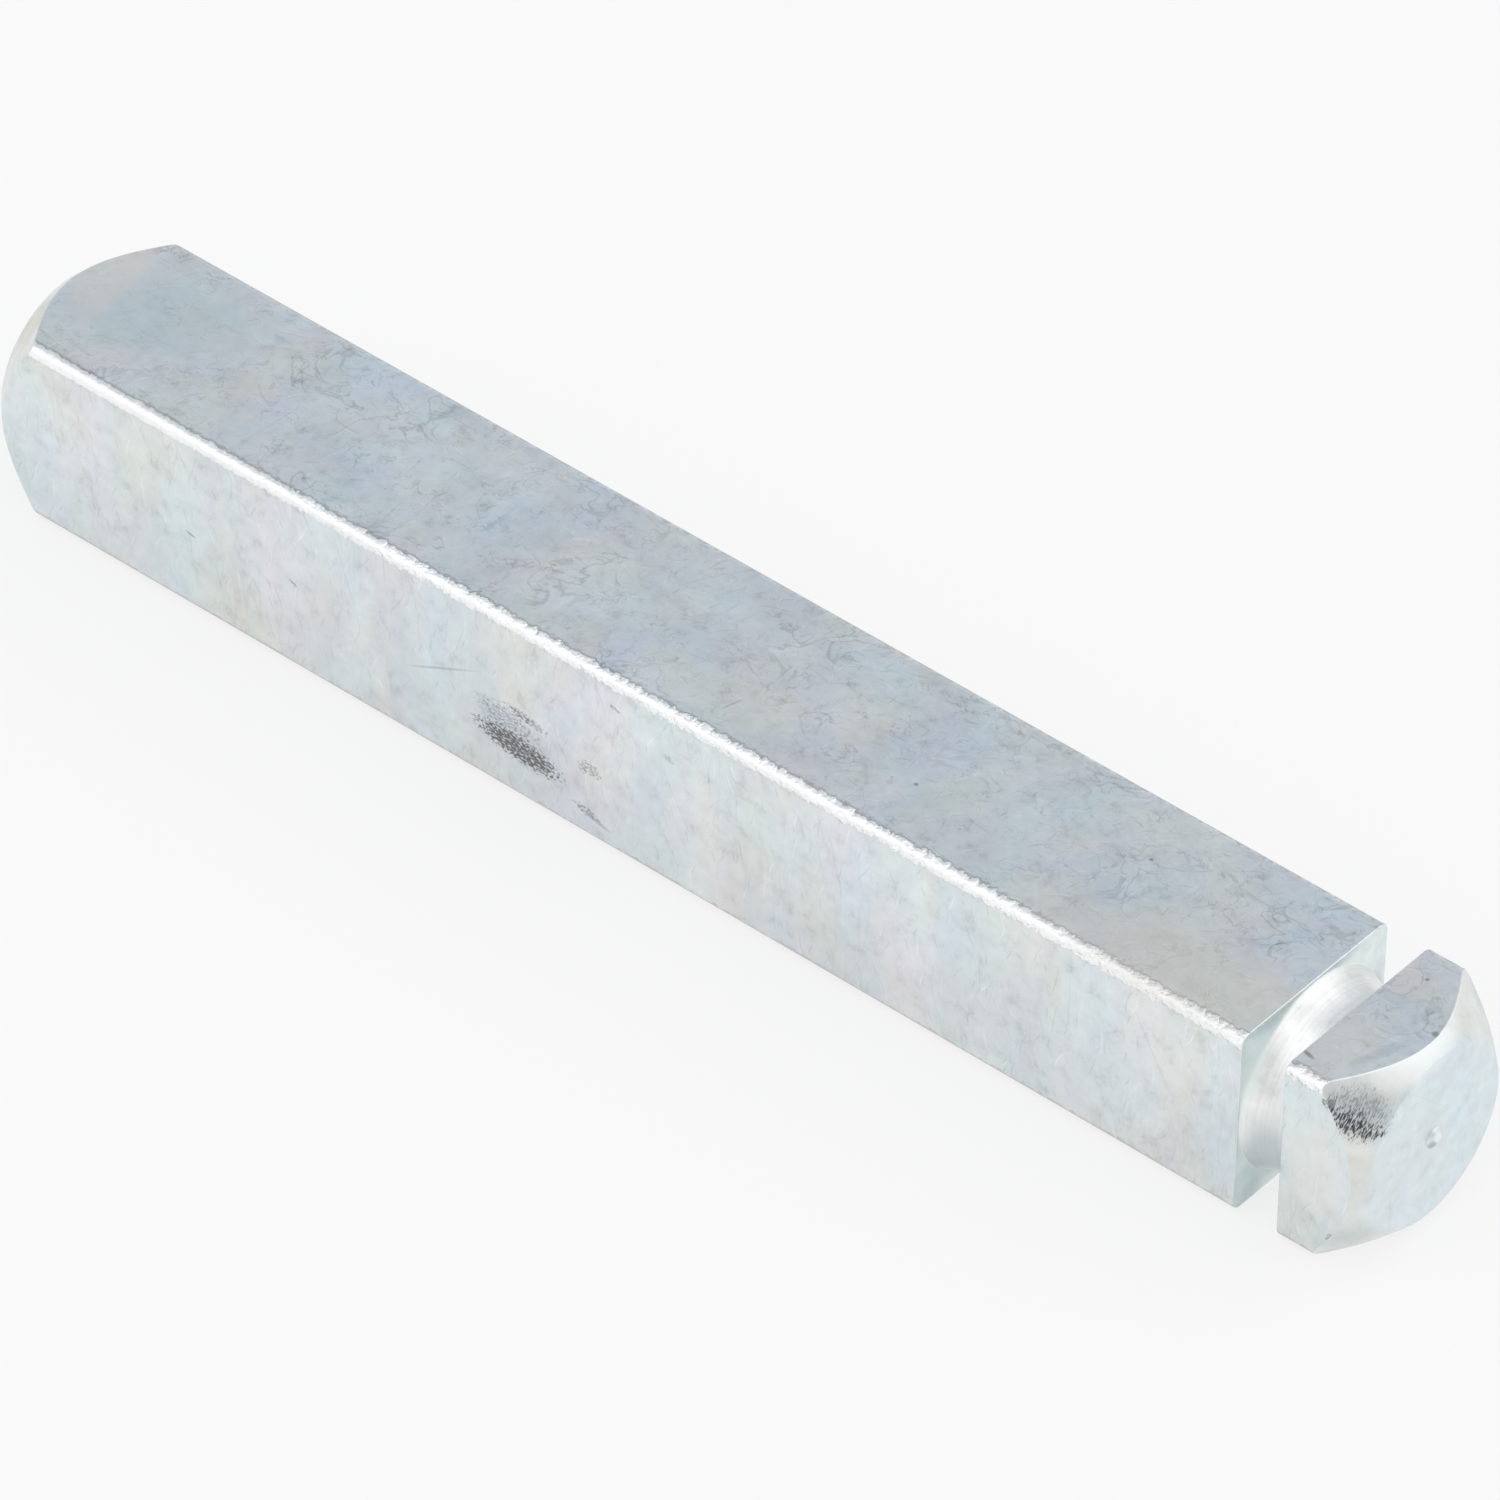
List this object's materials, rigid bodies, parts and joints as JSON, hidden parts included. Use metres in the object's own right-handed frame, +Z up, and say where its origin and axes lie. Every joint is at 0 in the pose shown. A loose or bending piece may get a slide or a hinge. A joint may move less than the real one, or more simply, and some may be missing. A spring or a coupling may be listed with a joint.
{
  "type": "door handle spindle",
  "caption": "Square steel spindle that turns a door latch from its lever handles, with turned chamfered ends and a hollow round retaining neck behind a short square head.",
  "frame": {"origin": "centre of the part's box on the surface that it lies on", "axes": "+X along the bar towards the necked head, +Z up from the flat that it lies on, Y across the flats"},
  "size_m": [0.0708, 0.009, 0.009],
  "materials": {
    "zinc_plated_steel": "bright zinc plate, clear passivated, with fine handling scratches"
  },
  "bodies": {
    "root": {"spindle": "zinc_plated_steel"}
  },
  "joints": []
}
